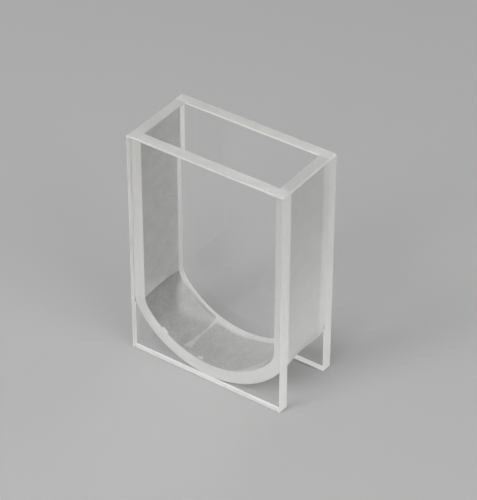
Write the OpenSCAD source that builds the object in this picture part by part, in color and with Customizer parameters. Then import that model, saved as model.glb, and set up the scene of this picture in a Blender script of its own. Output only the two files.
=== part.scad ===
// Fused quartz cell with a U-shaped floor.
// A ground U frame is seated between two polished windows and fused to them,
// and the outside is ground flush. The cell stands on the windows' lower edges.
// X runs across the windows, Y from the front window to the rear one, Z up.

/* [Cell] */
// Width across the windows
cell_w = 28; // [22:0.5:40]
// Height of the windows, from the bench to the rim
cell_h = 40; // [30:0.5:60]
// Light path: the gap between the windows, which the frame sets
light_path = 10; // [5:0.5:20]
// Thickness of each window
window_t = 2; // [1.5:0.1:3]

/* [U frame] */
// Thickness of the two straight legs and of the bends below them
leg_t = 2; // [1.5:0.1:3]
// Thickness of the frame at its lowest point
floor_t = 2.35; // [2:0.05:3.5]
// Inside radius of each bend, between a leg and the wide floor arc
bend_r = 4; // [2:0.5:6]
// How much larger the floor arc's radius is than half the width between its legs
arc_extra = 2; // [1:0.5:6]
// Gap between the frame's lowest point and the bench
foot_gap = 0.05; // [0.05:0.05:0.5]

/* [Ground edges] */
// Bevel along the outer edges, ground after fusing
bevel = 0.2; // [0.1:0.05:0.4]
// Finer bevel around the inside of the rim
rim_bevel = 0.1; // [0.05:0.05:0.2]
// Length of edge lost where one top corner of the rear window is knocked off
knock = 0.5; // [0.4:0.05:1]

/* [Hidden] */

half_w = cell_w / 2;
half_path = light_path / 2;
window_y = half_path + window_t;
mouth_x = half_w - leg_t;
well_z = foot_gap + floor_t;
outer_bend_r = bend_r + leg_t;
spare = 1;
clear_glass = [0.78, 0.82, 0.81, 0.5];
ground_glass = [0.66, 0.66, 0.63];
$fn = 144;

// Height of the bends' centres above the floor arc's lowest point, where an arc of
// radius side_x + arc_extra runs tangent into two bends of radius r
function bend_rise(side_x, r) =
    side_x + arc_extra - sqrt(arc_extra * (2 * (side_x - r) + arc_extra));

// Height at which the frame's outer bend has drawn in from the windows by the bevel
bare_edge_z = foot_gap + bend_rise(half_w, outer_bend_r)
    - sqrt(bevel * (2 * outer_bend_r - bevel));

// Basket-handle arch turned upside down: straight sides at side_x, a bend of radius r
// below each, and one wide arc that runs tangent into both bends and touches low_z
module basket_handle(side_x, r, low_z, top_z) {
    arc_r = side_x + arc_extra;
    arc_z = low_z + arc_r;
    bend_x = side_x - r;
    bend_z = low_z + bend_rise(side_x, r);
    // The wide arc's sector is cut along the lines from its centre through the bends'
    reach = 2 * arc_r / (arc_r - r);
    reach_z = arc_z - reach * (arc_z - bend_z);
    translate([-side_x, bend_z]) square([2 * side_x, top_z - bend_z]);
    for (side = [-1, 1]) translate([side * bend_x, bend_z]) circle(r);
    intersection() {
        translate([0, arc_z]) circle(arc_r);
        polygon([[0, arc_z], [-reach * bend_x, reach_z], [reach * bend_x, reach_z]]);
    }
}

// Waste beyond a bevel on the edge at the origin, with the glass below and left of it
module bevel_waste(size) {
    polygon([[-size - spare, spare], [spare, -size - spare], [spare, spare]]);
}

// Outline of a cell part seen from the front, with its four corners bevelled
module window_outline() {
    difference() {
        translate([-half_w, 0]) square([cell_w, cell_h]);
        for (side = [0, 1]) mirror([side, 0]) {
            translate([half_w, cell_h]) bevel_waste(bevel);
            translate([half_w, 0]) mirror([0, 1]) bevel_waste(bevel);
        }
    }
}

// Window as it stands at the front of the cell. Its outer face is bevelled all round,
// and its inner face along the foot and the mouth, where no frame is fused to it.
module window() {
    difference() {
        translate([0, -half_path, 0]) rotate([90, 0, 0]) linear_extrude(window_t) window_outline();
        // Upright edges: the outer face's whole height, and the foot's inner edges
        // up to where the frame comes flush with them
        for (side = [0, 1]) mirror([side, 0, 0]) translate([half_w, 0, -spare]) {
            translate([0, -window_y]) linear_extrude(cell_h + 2 * spare)
                mirror([0, 1]) bevel_waste(bevel);
            translate([0, -half_path]) linear_extrude(bare_edge_z + spare)
                bevel_waste(bevel);
        }
        // Level edges: the outer face's top and bottom, and the foot's inner edge
        rotate([90, 0, 90]) linear_extrude(cell_w + 2 * spare, center = true) {
            translate([-window_y, cell_h]) mirror([1, 0]) bevel_waste(bevel);
            translate([-window_y, 0]) rotate(180) bevel_waste(bevel);
            translate([-half_path, 0]) mirror([0, 1]) bevel_waste(bevel);
        }
        // Edge of the mouth, between the legs
        rotate([90, 0, 90]) linear_extrude(2 * mouth_x, center = true)
            translate([-half_path, cell_h]) bevel_waste(rim_bevel);
    }
}

module front_window() {
    color(clear_glass) window();
}

// The rear window is the same plate turned round, with one top corner knocked off
module rear_window() {
    color(clear_glass) difference() {
        mirror([0, 1, 0]) window();
        translate([half_w, window_y, cell_h]) rotate([0, acos(1 / sqrt(3)), 45])
            translate([0, 0, spare - knock / sqrt(3)]) cube(2 * spare, center = true);
    }
}

// One ground piece makes both end walls and the floor. The floor is left thicker than
// the legs, so the well's outline sits higher than the outside's would set it.
module u_frame() {
    color(ground_glass)
    translate([0, half_path, 0]) rotate([90, 0, 0]) linear_extrude(light_path) difference() {
        basket_handle(half_w, outer_bend_r, foot_gap, cell_h);
        basket_handle(mouth_x, bend_r, well_z, cell_h + spare);
        for (side = [0, 1]) mirror([side, 0]) {
            translate([half_w, cell_h]) bevel_waste(bevel);
            translate([mouth_x, cell_h]) mirror([1, 0]) bevel_waste(rim_bevel);
        }
    }
}

front_window();
u_frame();
rear_window();
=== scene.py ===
import math

import bmesh
import bpy
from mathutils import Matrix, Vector


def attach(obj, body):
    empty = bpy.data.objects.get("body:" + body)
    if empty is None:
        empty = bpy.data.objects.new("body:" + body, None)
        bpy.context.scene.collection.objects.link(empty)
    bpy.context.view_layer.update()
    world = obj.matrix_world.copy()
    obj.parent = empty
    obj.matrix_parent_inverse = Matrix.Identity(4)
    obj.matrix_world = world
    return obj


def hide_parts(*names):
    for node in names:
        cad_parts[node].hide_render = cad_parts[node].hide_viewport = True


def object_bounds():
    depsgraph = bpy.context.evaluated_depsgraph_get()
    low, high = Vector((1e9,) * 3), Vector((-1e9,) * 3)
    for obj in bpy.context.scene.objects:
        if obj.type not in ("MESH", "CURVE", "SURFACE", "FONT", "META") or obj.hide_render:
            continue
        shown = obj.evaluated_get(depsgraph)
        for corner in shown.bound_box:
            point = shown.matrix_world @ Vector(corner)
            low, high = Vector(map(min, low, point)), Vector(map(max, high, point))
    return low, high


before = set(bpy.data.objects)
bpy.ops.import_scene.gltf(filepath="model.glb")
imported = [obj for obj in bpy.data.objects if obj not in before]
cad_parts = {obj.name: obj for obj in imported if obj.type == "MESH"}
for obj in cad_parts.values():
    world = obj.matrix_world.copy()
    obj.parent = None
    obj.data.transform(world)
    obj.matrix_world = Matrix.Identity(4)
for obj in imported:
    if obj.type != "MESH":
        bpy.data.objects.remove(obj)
cad_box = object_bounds()

# ---------------------------------------------------------------------------
# Camera. A long lens stands high at the right of the front window, so the mouth,
# the front, the right side and the curved floor are all in view.
eye = bpy.data.objects.new("camera", bpy.data.cameras.new("camera"))
bpy.context.scene.collection.objects.link(eye)
eye.location = (0.1607975, -0.2285180, 0.2303976)
eye.rotation_euler = [math.radians(turn) for turn in (53.11337, -0.11676, 34.98442)]
eye.data.lens, eye.data.sensor_width = 166.8, 36
eye.data.clip_start, eye.data.clip_end = 0.01, 20
bpy.context.scene.camera = eye

# ---------------------------------------------------------------------------
# Front and rear windows. Two 2 mm plates of fused quartz, polished on both faces.
# Their edges were ground flush with the frame after fusing, and the bevels along
# them were ground by hand, a little coarser.
MM = 0.001  # in metres; sizes from here on are in mm
SIDE_X = round(cad_box[1].x / MM, 3)
BEVEL = 0.2
QUARTZ_IOR = 1.46
WHITE = (1, 1, 0.99)
GRIT, FINE_GRIT = 0.15, 0.1
# Lay of the grinding: how far its marks are drawn out along X, Y and Z
NO_LAY, LAY_X, LAY_Y, LAY_Z, HAND_LAY = (1, 1, 1), (8, 1, 1), (1, 8, 1), (1, 1, 8), (6, 6, 6)


class Value:
    """What a shader node gives. Sums and products of values add their Math nodes."""

    def __init__(self, finish, socket):
        self.finish, self.socket = finish, socket

    def worked(self, operation, first, second=0.0):
        return self.finish.node("ShaderNodeMath", {"operation": operation}, {0: first, 1: second})

    def __add__(self, other):
        return self.worked("ADD", self, other)

    def __mul__(self, other):
        return self.worked("MULTIPLY", self, other)

    def __sub__(self, other):
        return self.worked("SUBTRACT", self, other)

    def __rsub__(self, other):
        return self.worked("SUBTRACT", other, self)

    def __abs__(self):
        return self.worked("ABSOLUTE", self)

    __radd__, __rmul__ = __add__, __mul__


class Finish:
    """A finish of the quartz: one Principled shader, and the nodes that vary it."""

    def __init__(self, name, transmission):
        self.material = bpy.data.materials.new(name)
        self.material.use_nodes = True
        self.shader = self.material.node_tree.nodes["Principled BSDF"]
        self.place = self.node("ShaderNodeTexCoord", {}, {}, "Object")
        self.fill(self.shader, {"IOR": QUARTZ_IOR, "Transmission Weight": transmission})

    def node(self, kind, settings, sockets, output=0):
        """A new node of this kind, and what one of its outputs gives."""
        made = self.material.node_tree.nodes.new(kind)
        for name, setting in settings.items():
            setattr(made, name, setting)
        self.fill(made, sockets)
        return Value(self, made.outputs[output])

    def fill(self, node, sockets):
        """Set a node's sockets to numbers and colours, or link them to values."""
        for name, value in sockets.items():
            if isinstance(value, Value):
                self.material.node_tree.links.new(value.socket, node.inputs[name])
            else:
                node.inputs[name].default_value = value

    def millimetres(self):
        """Place on the cell along X, Y and Z, in mm."""
        split = "ShaderNodeSeparateXYZ"
        return [self.node(split, {}, {0: self.place}, axis) * (1 / MM) for axis in "XYZ"]

    def clouds(self, size, stretch=(1, 1, 1), detail=2.0):
        """Noise from 0 to 1 in patches of this size in mm, longer along an axis by stretch."""
        run = self.node(
            "ShaderNodeVectorMath", {"operation": "DIVIDE"}, {0: self.place, 1: stretch}
        )
        return self.node(
            "ShaderNodeTexNoise", {}, {"Vector": run, "Scale": 1 / (size * MM), "Detail": detail}
        )

    def over(self, value, low, high):
        """0 where a value is below low, 1 above high, and eased between."""
        return self.node(
            "ShaderNodeMapRange",
            {"interpolation_type": "SMOOTHSTEP"},
            {"Value": value, "From Min": low, "From Max": high},
        )

    def shade(self, share, first, second):
        """Colour on the way from the first to the second, by a share of 0 to 1."""
        return self.node(
            "ShaderNodeMix",
            {"data_type": "RGBA"},
            {"Factor": share, 6: (*first, 1), 7: (*second, 1)},
            2,
        )

    def relief(self, height, depth):
        """Surface relief from a height of 0 to 1, as deep as depth in mm."""
        return self.node(
            "ShaderNodeBump", {}, {"Height": height, "Distance": depth * MM, "Strength": 1.0}
        )


def polished_finish():
    """Optical polish, with the last trace of wiping on it."""
    finish = Finish("polished_quartz", transmission=1.0)
    wiped = finish.over(finish.clouds(size=6, stretch=(1, 1, 2.5)), 0.45, 0.8)
    haze = finish.clouds(size=0.8, stretch=(3, 1, 1))
    finish.fill(
        finish.shader,
        {
            "Base Color": finish.shade(wiped, (1, 1, 1), (0.985, 0.988, 0.985)),
            "Roughness": 0.035 * wiped * haze,
        },
    )
    return finish.material


def ground_finish(
    name, transmission, upper, lower, grit=GRIT, lay=NO_LAY, turn=(4, 40), lighter=None
):
    """Ground with loose abrasive: matt, clouded, grained at the size of the grit and lined
    along the lay. Its colour turns from lower to upper between two heights in mm, which is
    painted light and shade: it stands for how brightly each kind of ground face glows high
    up and low down with the light carried inside the glass. Where the lower colour is the
    lighter one, a function of the place can bring in more of it."""
    finish = Finish(name, transmission)
    x, y, z = finish.millimetres()
    grains = finish.over(finish.clouds(grit, detail=3), 0.3, 0.7)
    clouding = finish.clouds(size=2.4)
    lines = finish.clouds(size=0.25, stretch=lay)
    # Painted light and shade: the share of the lower colour rises towards the bottom.
    low = 1 - finish.over(z, *turn)
    share = 0.15 * grains + 0.2 * clouding + 0.1 * lines + 0.55 * low
    if lighter:
        share = share + lighter(finish, x, y, clouding)
    finish.fill(
        finish.shader,
        {
            "Base Color": finish.shade(share, upper, lower),
            "Roughness": 0.48 + 0.12 * grains + 0.1 * lines,
            "Normal": finish.relief(0.6 * grains + 0.4 * lines, depth=0.012),
        },
    )
    return finish.material


# For each kind of face: how much light passes its grinding, and its colour high up and
# low down, which is painted light and shade. The rims pass most. The feet and the left
# edge pass none, and stay white.
window_faces = {
    "polished": polished_finish(),
    "edge": ground_finish("ground_edge", 0.4, (0.75, 0.747, 0.737), WHITE, lay=LAY_Z),
    # Painted light: the left edge is white high up too, where the other edges are grey.
    "left_edge": ground_finish("left_edge", 0.0, WHITE, (0.95, 0.947, 0.935), lay=LAY_Z),
    # Painted shade: the front rim is darker than the rear one, against the key lamp in front.
    "front_rim": ground_finish("front_rim", 0.7, (0.66, 0.657, 0.647), WHITE, lay=LAY_X),
    "rear_rim": ground_finish("rear_rim", 0.9, (0.93, 0.927, 0.917), WHITE, lay=LAY_X),
    "bevel": ground_finish(
        "ground_bevel", 0.5, (0.62, 0.617, 0.605), (0.86, 0.857, 0.845), FINE_GRIT, HAND_LAY
    ),
    "foot": ground_finish("ground_foot", 0.0, (0.97, 0.97, 0.96), (1, 1, 1), lay=LAY_X),
}
SQUARE_ON = 0.999


def window_face(window, face):
    """Kind of a window's face, told by where it lies and which way it points."""
    across, through, up = (abs(part) > SQUARE_ON for part in face.normal)
    if face.center.z < BEVEL * MM:
        return "foot"
    if through:
        return "polished"
    if up:
        return window.replace("window", "rim")
    if face.center.x < (BEVEL - SIDE_X) * MM:
        return "left_edge"
    # Painted light: the rear window's bevels take the lighter edge finish.
    return "edge" if across or window == "rear_window" else "bevel"


for window in ("front_window", "rear_window"):
    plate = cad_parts[window].data
    plate.materials.clear()
    for material in window_faces.values():
        plate.materials.append(material)
    for face in plate.polygons:
        face.material_index = list(window_faces).index(window_face(window, face))

# ---------------------------------------------------------------------------
# U frame. One bent piece of ground quartz, fused between the windows by its two flat
# ends. Its outside is ground, a little waisted round the bends, and fine bevels run
# round both ends; the well's walls and floor are fire-polished, with a few marks in them.
# Light and shade are also painted into the colours of its faces.
RIM_Z = round(cad_box[1].z / MM, 3)
LEG, FLOOR, FOOT_GAP = 2.0, 2.35, 0.05
INNER_BEND_R, ARC_EXTRA, MOUTH_BEVEL = 4.0, 2.0, 0.1
# Outside and inside each run down a leg, round a bend and along one wide floor arc, all
# tangent. The arc's radius is ARC_EXTRA more than the legs' distance from the middle. Its
# centre is CENTRE_RISE above the bends' centres, and a bend meets it at BEND_END degrees.
MOUTH_X = SIDE_X - LEG
BEND_X = MOUTH_X - INNER_BEND_R
OUTER_BEND_R = INNER_BEND_R + LEG
OUTER_FLOOR_R, INNER_FLOOR_R = SIDE_X + ARC_EXTRA, MOUTH_X + ARC_EXTRA
OUTER_FLOOR_Z, INNER_FLOOR_Z = FOOT_GAP + OUTER_FLOOR_R, FOOT_GAP + FLOOR + INNER_FLOOR_R
CENTRE_RISE = math.sqrt((OUTER_FLOOR_R - OUTER_BEND_R) ** 2 - BEND_X**2)
OUTER_BEND_Z, INNER_BEND_Z = OUTER_FLOOR_Z - CENTRE_RISE, INNER_FLOOR_Z - CENTRE_RISE
BEND_END = 180 + math.degrees(math.atan2(CENTRE_RISE, BEND_X))
LEG_STEPS, BEND_STEPS, FLOOR_STEP = 16, 20, 1.5

# Two faces of glass in one place would render as noise, so the ends stop a hair short of
# the windows, at END_Y. Lips on their edges close the seam. On the outer edge the lip turns
# into a bevel over BEVEL_RUN below the straight sides.
END_Y = 4.98
LIP_WIDTH, LIP = 0.03, 0.019
END_BEVEL, WELL_END_BEVEL, BEVEL_RUN = 0.14, 0.05, 2.5
# Over WAIST_RUN below the straight sides the outside comes to draw in, by WAIST halfway
# between the windows and by nothing WAIST_HALF from there.
WAIST, WAIST_HALF, WAIST_RUN = 0.25, 3.7, 1.8
# A painted glow, for light coming through the rear joint, shows in the well as a white
# frosted band that starts at JOINT_Y. It is narrower by JOINT_CUT between the left bend
# and the scratch, at the two X values below.
JOINT_Y, JOINT_CUT = 3.85, 0.45
LEFT_BEND_X, SCRATCH_X = -11.0, -4.55
WELL_ROWS, JOINT_ROWS = 20, 3


def on_circle(centre_x, centre_z, radius, turn):
    """Point of a circle at a turn in degrees."""
    turn = math.radians(turn)
    return centre_x + radius * math.cos(turn), centre_z + radius * math.sin(turn)


def left_half():
    """Pairs of outer and inner points of the U, from the left rim down to the middle."""
    pairs = [
        ((-SIDE_X + BEVEL, RIM_Z), (-MOUTH_X - MOUTH_BEVEL, RIM_Z)),
        ((-SIDE_X, RIM_Z - BEVEL), (-MOUTH_X, RIM_Z - MOUTH_BEVEL)),
    ]
    for step in range(1, LEG_STEPS):
        share = step / LEG_STEPS
        outer_z = RIM_Z - BEVEL + share * (OUTER_BEND_Z - RIM_Z + BEVEL)
        inner_z = RIM_Z - MOUTH_BEVEL + share * (INNER_BEND_Z - RIM_Z + MOUTH_BEVEL)
        pairs.append(((-SIDE_X, outer_z), (-MOUTH_X, inner_z)))
    for step in range(BEND_STEPS + 1):
        turn = 180 + step / BEND_STEPS * (BEND_END - 180)
        pairs.append(
            (
                on_circle(-BEND_X, OUTER_BEND_Z, OUTER_BEND_R, turn),
                on_circle(-BEND_X, INNER_BEND_Z, INNER_BEND_R, turn),
            )
        )
    turn = BEND_END
    while turn < 270:
        turn = min(270, turn + FLOOR_STEP)
        pairs.append(
            (
                on_circle(0, OUTER_FLOOR_Z, OUTER_FLOOR_R, turn),
                on_circle(0, INNER_FLOOR_Z, INNER_FLOOR_R, turn),
            )
        )
    return pairs


def lean(path, at):
    """Unit vector across a path at one of its points, to the left of its run."""
    before, after = path[max(at - 1, 0)], path[min(at + 1, len(path) - 1)]
    run = Vector((after[0] - before[0], after[1] - before[1])).normalized()
    return Vector((run.y, -run.x))


def limited(share):
    """A share kept between 0 and 1."""
    return min(1, max(0, share))


def row_levels(side, x):
    """Y of each row of corners, from the front end to the rear one. The joint's narrower
    stretch sets in over 1.5 mm and ends over 0.3 mm."""
    narrow = limited(min((x - LEFT_BEND_X) / 1.5, (SCRATCH_X - 0.05 - x) / 0.3))
    joint_y = JOINT_Y + (JOINT_CUT * narrow if side == "inner" else 0)
    levels = [-END_Y + (joint_y + END_Y) * row / WELL_ROWS for row in range(WELL_ROWS)]
    return levels + [
        joint_y + (END_Y - joint_y) * row / JOINT_ROWS for row in range(JOINT_ROWS + 1)
    ]


def end_edge(side, z):
    """How far an end's edge is set in, and how far the side runs on past the end: a lip
    where that is more than 0, and a bevel where it is less."""
    if side == "inner":
        return (LIP_WIDTH, LIP) if z > RIM_Z - 1 else (WELL_END_BEVEL, -WELL_END_BEVEL)
    bare = limited((OUTER_BEND_Z - z) / BEVEL_RUN)
    return LIP_WIDTH + (END_BEVEL - LIP_WIDTH) * bare, LIP - (LIP + END_BEVEL) * bare


pairs = left_half()
pairs += [tuple((-x, z) for x, z in pair) for pair in reversed(pairs[:-1])]
outer, inner = [pair[0] for pair in pairs], [pair[1] for pair in pairs]

# A column of corners at each point, from the front end to the rear one. The second corner
# and the last but one are where the lips reach furthest or the bevels begin.
shell = bmesh.new()
grid = {}
for side, path, sign in (("outer", outer, 1), ("inner", inner, -1)):
    for at, (x, z) in enumerate(path):
        edge_in, run_on = end_edge(side, z)
        inward = -sign * lean(path, at)
        bent = limited((OUTER_BEND_Z - z) / WAIST_RUN) if side == "outer" else 0
        column = []
        for y in row_levels(side, x):
            set_in = inward * WAIST * bent * max(0, 1 - (y / WAIST_HALF) ** 2)
            if abs(y) == END_Y:
                set_in = inward * edge_in
            column.append(shell.verts.new(Vector((x + set_in.x, y, z + set_in.y)) * MM))
        column.insert(1, shell.verts.new(Vector((x, -END_Y - run_on, z)) * MM))
        column.insert(-1, shell.verts.new(Vector((x, END_Y + run_on, z)) * MM))
        grid[side, at] = column


def painted_rear_glow(finish, x, y, clouding):
    """Painted light: the outside is lighter in an uneven band before the rear joint, for
    light from the rear window that leaks into the frame there.
    """
    return 0.3 * finish.over(y + 0.5 * clouding, 3.2, 4.4)


def painted_margin_light(finish, x, y, clouding):
    """Painted light: the ends are lighter in the last millimetre before the sides, against
    the shade in the corners beside the windows' edges.
    """
    return 0.55 * finish.over(abs(x), SIDE_X - 1, SIDE_X)


def fired_well():
    """Fire polish over the ground well: half clear, rippled and grained. Left of a scratch
    across the floor it is darker with painted shade, up to an arched line on the left
    bend, with a pale fan of painted glow against the rear joint and a dark seam between
    the two. Right of the scratch it is lighter with painted light, with a painted
    reflection in the front right corner."""
    finish = Finish("fired_well", transmission=0.6)
    x, y, z = finish.millimetres()
    haze = finish.over(finish.clouds(size=1.5, stretch=(1, 1.6, 1.4), detail=4), 0.3, 0.7)
    grains = finish.over(finish.clouds(size=0.28, detail=2), 0.3, 0.7)
    ripple = finish.clouds(size=0.9, stretch=(1, 3, 1))

    def larger(first, second):
        return finish.node("ShaderNodeMath", {"operation": "MAXIMUM"}, {0: first, 1: second})

    # Walls above the arched line, the left one lighter just over it
    left = 1 - finish.over(x, SCRATCH_X - 0.1, SCRATCH_X + 0.1)
    wall = 0.58 + 0.24 * left * (1 - finish.over(z + 0.5 * y, 9.6, 11.6))
    on_wall = finish.over(z + 0.018 * (y + 1) * (y + 1), 10.22, 10.32)

    # Painted shade on the floor left of the scratch, deepest towards the left bend. The fan
    # of painted glow reaches furthest forward at fan_x.
    fan_x, pale = -8.9, 0.68
    reach = larger(larger(0.6 * (x - fan_x), -1.0 * (x - fan_x)), -2.6 * (x + 10))
    fan = finish.over(y - reach, -1.6, 1.2) - 0.08 * finish.over(y - reach, 1.5, 3.0)
    left_shading = 0.1 + 0.2 * finish.over(x, -10.5, -8.2)
    left_shading = left_shading + 0.12 * finish.over(y, -2.5, 0) * finish.over(x, -8, -5.5)
    left_shading = left_shading + fan * (pale - left_shading)
    seam = finish.over(y, 3.65, 3.95) * finish.over(x, -10.3, -6.5)

    # Floor right of it, painted lighter towards the right and the rear, against the shade
    # under its lowest part. A painted reflection lies in the front right corner, and painted
    # glow beside the rear joint.
    middle = 0.32 + 0.14 * finish.over(x, -3.5, 2) + 0.14 * finish.over(y, -3.5, 2.5)
    corner = finish.over(0.65 * (x - 4.75) - (y + 5), -0.6, 0.6) * (1 - finish.over(x, 8.5, 11))
    clear = middle + 0.35 * corner + 0.35 * finish.over(y, 3.2, 3.6)
    floor = clear + left * (left_shading - 0.28 * seam - clear)
    tone = floor + on_wall * (wall - floor)

    # Scratch, wider towards both ends. It starts frayed and slanted, at its front tip.
    tip_x, tip_y = -4.5, -4.0
    off = abs(x - SCRATCH_X + 0.1 * haze)
    half = 0.18 + 0.13 * larger(0, -1.2 - y) + 0.2 * larger(0, y - 2.8)
    frayed = finish.over(y - tip_y - 0.45 * (x - tip_x) + 0.3 * haze, -0.15, 0.15)
    scratch = (1 - finish.over(off - half, -0.15, 0.15)) * frayed
    tone = tone + scratch * (pale + 0.32 * finish.over(y, 0.5, 2.5) - tone)
    tone = tone + 0.14 * haze + 0.18 * grains - 0.16

    finish.fill(
        finish.shader,
        {
            "Base Color": finish.shade(tone, (0.3, 0.3, 0.295), (1, 1, 0.985)),
            "Roughness": 0.32 + 0.1 * haze + 0.15 * scratch,
            "Normal": finish.relief(ripple, depth=0.01),
        },
    )
    return finish.material


# Kinds of face: the outside, the fused ends, the rims, the lips and bevels, the well, the
# rear joint's band in it, which is a painted glow, and the outer bevel below each rim.
# Their colours carry painted light and shade.
frame_faces = {
    "outside": ground_finish(
        "ground_outside", 0.3, (0.53, 0.525, 0.51), WHITE, lay=LAY_Y, lighter=painted_rear_glow
    ),
    "end": ground_finish(
        "ground_end", 0.5, (0.77, 0.765, 0.75), (1, 0.995, 0.98), lighter=painted_margin_light
    ),
    "rim": ground_finish("ground_rim", 0.5, (0.7, 0.697, 0.687), WHITE, lay=LAY_X),
    "bevel": window_faces["bevel"],
    "well": fired_well(),
    # Painted glow: the joint's band is white, and greyer low down on the floor.
    "joint": ground_finish("joint_glow", 0.15, (1, 1, 1), (0.72, 0.717, 0.705), turn=(3, 9)),
    "edge": window_faces["edge"],
}


def add_face(corners, kind):
    """Face of the frame between these corners, with the finish of its kind."""
    face = shell.faces.new(corners)
    face.material_index = list(frame_faces).index(kind)
    face.smooth = True


# Faces between neighbouring columns, then the two rims. The first and last rows are the
# lips and bevels of the ends, and the first and last columns the bevels of the rims.
ROWS = WELL_ROWS + JOINT_ROWS + 2
for at in range(len(pairs) - 1):
    ledge = at in (0, len(pairs) - 2)
    for row in range(ROWS):
        bevelled = ledge or row in (0, ROWS - 1)
        here, after = grid["outer", at], grid["outer", at + 1]
        add_face(
            (here[row], after[row], after[row + 1], here[row + 1]),
            "edge" if ledge else "bevel" if bevelled else "outside",
        )
        here, after = grid["inner", at], grid["inner", at + 1]
        add_face(
            (here[row + 1], after[row + 1], after[row], here[row]),
            "bevel" if bevelled else "joint" if row > WELL_ROWS else "well",
        )
    for end in (0, -1):
        ring = [("inner", at), ("inner", at + 1), ("outer", at + 1), ("outer", at)]
        add_face([grid[key][end] for key in ring], "end")
for at in (0, len(pairs) - 1):
    outside, inside = grid["outer", at], grid["inner", at]
    for row in range(ROWS):
        add_face((outside[row], outside[row + 1], inside[row + 1], inside[row]), "rim")

frame_mesh = bpy.data.meshes.new("ground_frame")
bmesh.ops.recalc_face_normals(shell, faces=shell.faces)
shell.to_mesh(frame_mesh)
shell.free()
for material in frame_faces.values():
    frame_mesh.materials.append(material)
frame_mesh.set_sharp_from_angle(angle=math.radians(30))
ground_frame = bpy.data.objects.new("ground_frame", frame_mesh)
bpy.context.scene.collection.objects.link(ground_frame)
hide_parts("u_frame")
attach(ground_frame, "root")

# ---------------------------------------------------------------------------
# Burr, bead and specks. When the well was fired, molten quartz froze on its floor: a low
# burr against the front window with a bead at its tip, and two specks further along.
# All are half sunk in the floor. Each is given by its X, Y, length, width and height.
BURR = (-8.32, -4.77, 1.35, 0.36, 0.18)
BEAD = (-8.12, -4.85, 0.58, 0.22, 0.29)
SPECKS = ((-2.03, -4.56, 0.32, 0.24, 0.14), (-1.66, -4.46, 0.42, 0.26, 0.18))
# Rings along a lump, points round a ring, and the part of a step between a tip and its ring
RINGS, POINTS, TIP_STEP = 11, 14, 0.35


def lump(droplets, x, y, length, width, height):
    """Rounded, uneven lump on the floor arc: rings along its length, drawn in at its tips."""
    down = x / INNER_FLOOR_R
    along = Vector((math.sqrt(1 - down * down), 0, down))
    up = Vector((-down, 0, along.x))
    foot = Vector((x, y, INNER_FLOOR_Z - INNER_FLOOR_R * along.x))
    rings = []
    for step in range(RINGS):
        turn = math.pi * (step + TIP_STEP) / (RINGS - 1 + 2 * TIP_STEP)
        swell = math.sin(turn) ** 0.65 * (1 + 0.12 * math.sin(3 * turn + x))
        middle = foot - along * (math.cos(turn) * length / 2)
        ring = []
        for point in range(POINTS):
            angle = 2 * math.pi * point / POINTS
            reach = swell * (1 + 0.08 * math.sin(2 * angle + 2 * turn + x))
            side = Vector((0, width / 2 * math.cos(angle) * reach, 0))
            place = middle + side + up * height * math.sin(angle) * reach
            ring.append(droplets.verts.new(place * MM))
        rings.append(ring)
    for ring, after in zip(rings, rings[1:]):
        for point in range(POINTS):
            beside = (point + 1) % POINTS
            droplets.faces.new((ring[point], ring[beside], after[beside], after[point]))
    for tip in (rings[0], rings[-1]):
        droplets.faces.new(tip)


frosted = ground_finish("frosted_burr", 0.3, (0.85, 0.845, 0.83), WHITE, FINE_GRIT)
molten = ground_finish("frozen_drop", 0.0, (0.95, 0.95, 0.94), (1, 1, 1), FINE_GRIT)
for name, lumps, material in (
    ("burr", (BURR,), frosted),
    ("bead", (BEAD,), molten),
    ("specks", SPECKS, molten),
):
    droplets = bmesh.new()
    for sizes in lumps:
        lump(droplets, *sizes)
    bmesh.ops.recalc_face_normals(droplets, faces=droplets.faces)
    drop_mesh = bpy.data.meshes.new(name)
    droplets.to_mesh(drop_mesh)
    droplets.free()
    drop_mesh.shade_smooth()
    drop_mesh.materials.append(material)
    drop = bpy.data.objects.new(name, drop_mesh)
    bpy.context.scene.collection.objects.link(drop)
    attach(drop, "root")

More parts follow.
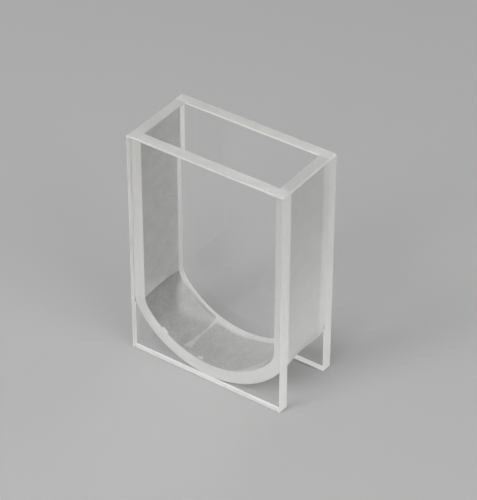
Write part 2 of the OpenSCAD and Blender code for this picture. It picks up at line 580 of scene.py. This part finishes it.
# ---------------------------------------------------------------------------
# Bench top: a wide matt pale sheet under the cell. It lies a hair below the feet, so
# that the two never share one place.
BENCH_HALF_WIDTH, BENCH_DROP = 2000, 0.02
sheet = bmesh.new()
bmesh.ops.create_grid(sheet, x_segments=8, y_segments=8, size=BENCH_HALF_WIDTH * MM)
bench_mesh = bpy.data.meshes.new("bench")
sheet.to_mesh(bench_mesh)
sheet.free()
bench = bpy.data.objects.new("bench", bench_mesh)
bpy.context.scene.collection.objects.link(bench)
bench.location.z = -BENCH_DROP * MM
paper = bpy.data.materials.new("bench_top")
paper.use_nodes = True
paper.node_tree.nodes["Principled BSDF"].inputs["Base Color"].default_value = (0.45, 0.45, 0.45, 1)
paper.node_tree.nodes["Principled BSDF"].inputs["Roughness"].default_value = 0.9
bench_mesh.materials.append(paper)

# ---------------------------------------------------------------------------
# Light. A soft white sky all round, a broad main lamp high in front, and a weaker one
# at the right, which lights the ground side. Both point at the middle of the cell.
sky = bpy.data.worlds.new("sky")
sky.use_nodes = True
sky.node_tree.nodes["Background"].inputs["Color"].default_value = (1, 1, 1, 1)
sky.node_tree.nodes["Background"].inputs["Strength"].default_value = 0.45
bpy.context.scene.world = sky
AIM = Vector((0, 0, RIM_Z / 2)) * MM
LAMP_DISTANCE, LAMP_WIDTH = 700, 450
for name, bearing, height, watts in (("key", -5, 42, 3.4), ("right", 75, 30, 1.2)):
    lamp = bpy.data.lights.new(name, "AREA")
    lamp.size, lamp.energy = LAMP_WIDTH * MM, watts
    stand = bpy.data.objects.new(name, lamp)
    bpy.context.scene.collection.objects.link(stand)
    bearing, height = math.radians(bearing), math.radians(height)
    away = Vector((
        math.sin(bearing) * math.cos(height),
        -math.cos(bearing) * math.cos(height),
        math.sin(height),
    ))
    stand.location = AIM + away * LAMP_DISTANCE * MM
    stand.rotation_euler = away.to_track_quat("Z", "Y").to_euler()

# Light passes many clear and ground faces here, so its paths may run long, and its
# reflections are left sharp
scene = bpy.context.scene
scene.view_settings.view_transform = "Standard"
scene.cycles.max_bounces = 64
scene.cycles.glossy_bounces = 48
scene.cycles.transmission_bounces = 48
scene.cycles.diffuse_bounces = 24
scene.cycles.blur_glossy = 0
